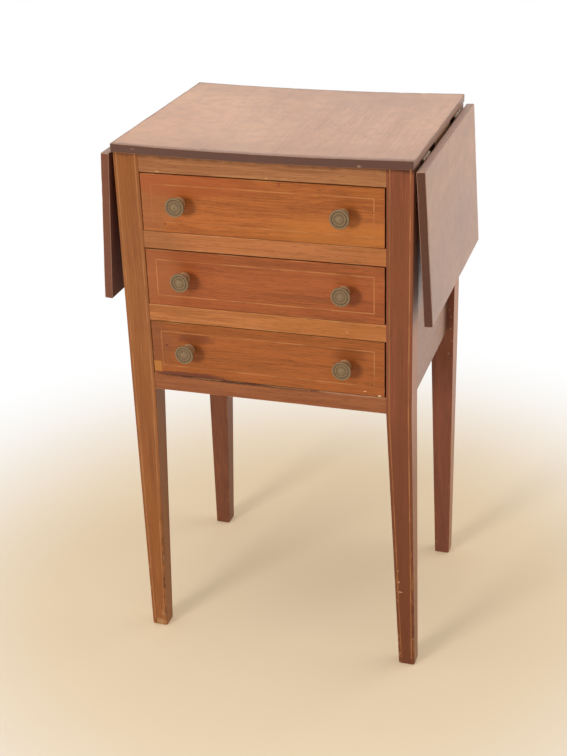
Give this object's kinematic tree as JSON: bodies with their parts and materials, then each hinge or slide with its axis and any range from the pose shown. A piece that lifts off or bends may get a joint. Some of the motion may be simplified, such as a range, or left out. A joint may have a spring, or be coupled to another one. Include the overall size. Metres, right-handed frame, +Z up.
{
  "type": "sewing stand",
  "caption": "Drop-leaf sewing stand: stacked drawers with string inlay and round brass knobs between square tapered legs, under a thin top with hinged side leaves.",
  "frame": {"origin": "on the floor, under the middle of the box that the stand fills with its leaves hanging and its drawers shut", "axes": "+X to the stand's right seen from the front, +Y towards its back, +Z up"},
  "size_m": [0.4438, 0.343, 0.737],
  "materials": {
    "top_wood": "waxed mahogany, dull and faded",
    "leaf_wood": "waxed mahogany, dull and faded",
    "leg_wood": "polished mahogany, worn along the edges",
    "rail_wood": "polished mahogany",
    "panel_wood": "polished mahogany",
    "drawer_front_wood": "polished mahogany veneer, orange-red",
    "drawer_box_wood": "bare pale wood",
    "carcass_wood": "bare wood",
    "stringing": "boxwood string inlay",
    "knob_brass": "aged brass",
    "hinge_brass": "aged brass",
    "stay_steel": "dull steel"
  },
  "bodies": {
    "stand": {"front_right_leg": "leg_wood", "front_left_leg": "leg_wood", "back_right_leg": "leg_wood", "back_left_leg": "leg_wood", "leg_stringing": "stringing", "back_panel": "panel_wood", "table_top": "top_wood", "top_screws": "stay_steel", "drawer_stops": "carcass_wood", "top_rail": "rail_wood", "upper_drawer_rail": "rail_wood", "lower_drawer_rail": "rail_wood", "bottom_rail": "rail_wood", "right_side_panel": "panel_wood", "right_kicker": "carcass_wood", "right_upper_runner": "carcass_wood", "right_middle_runner": "carcass_wood", "right_lower_runner": "carcass_wood", "right_hinge_top_plates": "hinge_brass", "right_hinge_pins": "hinge_brass", "right_stay_wall_plate": "stay_steel", "left_side_panel": "panel_wood", "left_kicker": "carcass_wood", "left_upper_runner": "carcass_wood", "left_middle_runner": "carcass_wood", "left_lower_runner": "carcass_wood", "left_hinge_top_plates": "hinge_brass", "left_hinge_pins": "hinge_brass", "left_stay_wall_plate": "stay_steel"},
    "upper_drawer": {"upper_drawer_front": "drawer_front_wood", "upper_drawer_left_side": "drawer_box_wood", "upper_drawer_right_side": "drawer_box_wood", "upper_drawer_back": "drawer_box_wood", "upper_drawer_bottom": "drawer_box_wood", "upper_drawer_stringing": "stringing", "upper_drawer_knobs": "knob_brass"},
    "middle_drawer": {"middle_drawer_front": "drawer_front_wood", "middle_drawer_left_side": "drawer_box_wood", "middle_drawer_right_side": "drawer_box_wood", "middle_drawer_back": "drawer_box_wood", "middle_drawer_bottom": "drawer_box_wood", "middle_drawer_stringing": "stringing", "middle_drawer_knobs": "knob_brass"},
    "lower_drawer": {"lower_drawer_front": "drawer_front_wood", "lower_drawer_left_side": "drawer_box_wood", "lower_drawer_right_side": "drawer_box_wood", "lower_drawer_back": "drawer_box_wood", "lower_drawer_bottom": "drawer_box_wood", "lower_drawer_stringing": "stringing", "lower_drawer_knobs": "knob_brass"},
    "right_leaf": {"right_leaf": "leaf_wood", "right_hinge_leaf_plates": "hinge_brass", "right_stay_leaf_plate": "stay_steel"},
    "right_long_arm": {"right_stay_long_arm": "stay_steel"},
    "right_short_arm": {"right_stay_short_arm": "stay_steel"},
    "left_leaf": {"left_leaf": "leaf_wood", "left_hinge_leaf_plates": "hinge_brass", "left_stay_leaf_plate": "stay_steel"},
    "left_long_arm": {"left_stay_long_arm": "stay_steel"},
    "left_short_arm": {"left_stay_short_arm": "stay_steel"}
  },
  "joints": [
    {"name": "upper_drawer_slide", "type": "slide", "parent": "stand", "child": "upper_drawer", "axis": [0, -1, 0], "range_m": [0, 0.2]},
    {"name": "middle_drawer_slide", "type": "slide", "parent": "stand", "child": "middle_drawer", "axis": [0, -1, 0], "range_m": [0, 0.2]},
    {"name": "lower_drawer_slide", "type": "slide", "parent": "stand", "child": "lower_drawer", "axis": [0, -1, 0], "range_m": [0, 0.2]},
    {"name": "right_leaf_hinge", "type": "hinge", "parent": "stand", "child": "right_leaf", "pos_m": [0.1963, 0, 0.7235], "axis": [0, -1, 0], "range_deg": [0, 86.5]},
    {"name": "right_long_arm_pivot", "type": "hinge", "parent": "stand", "child": "right_long_arm", "pos_m": [0.194, 0, 0.6685], "axis": [0, -1, 0], "range_deg": [0, 114.55]},
    {"name": "right_short_arm_pivot", "type": "hinge", "parent": "right_leaf", "child": "right_short_arm", "pos_m": [0.19672, 0, 0.61833], "axis": [0, -1, 0], "range_deg": [-147.37, 0]},
    {"name": "left_leaf_hinge", "type": "hinge", "parent": "stand", "child": "left_leaf", "pos_m": [-0.1963, 0, 0.7235], "axis": [0, 1, 0], "range_deg": [0, 86.5]},
    {"name": "left_long_arm_pivot", "type": "hinge", "parent": "stand", "child": "left_long_arm", "pos_m": [-0.194, 0, 0.6685], "axis": [0, 1, 0], "range_deg": [0, 114.55]},
    {"name": "left_short_arm_pivot", "type": "hinge", "parent": "left_leaf", "child": "left_short_arm", "pos_m": [-0.19672, 0, 0.61833], "axis": [0, 1, 0], "range_deg": [-147.37, 0]}
  ],
  "couplings": [
    {"joint": "right_long_arm_pivot", "follows": "right_leaf_hinge", "ratio": 1.3242},
    {"joint": "right_short_arm_pivot", "follows": "right_leaf_hinge", "ratio": -1.7036},
    {"joint": "left_long_arm_pivot", "follows": "left_leaf_hinge", "ratio": 1.3242},
    {"joint": "left_short_arm_pivot", "follows": "left_leaf_hinge", "ratio": -1.7036}
  ]
}
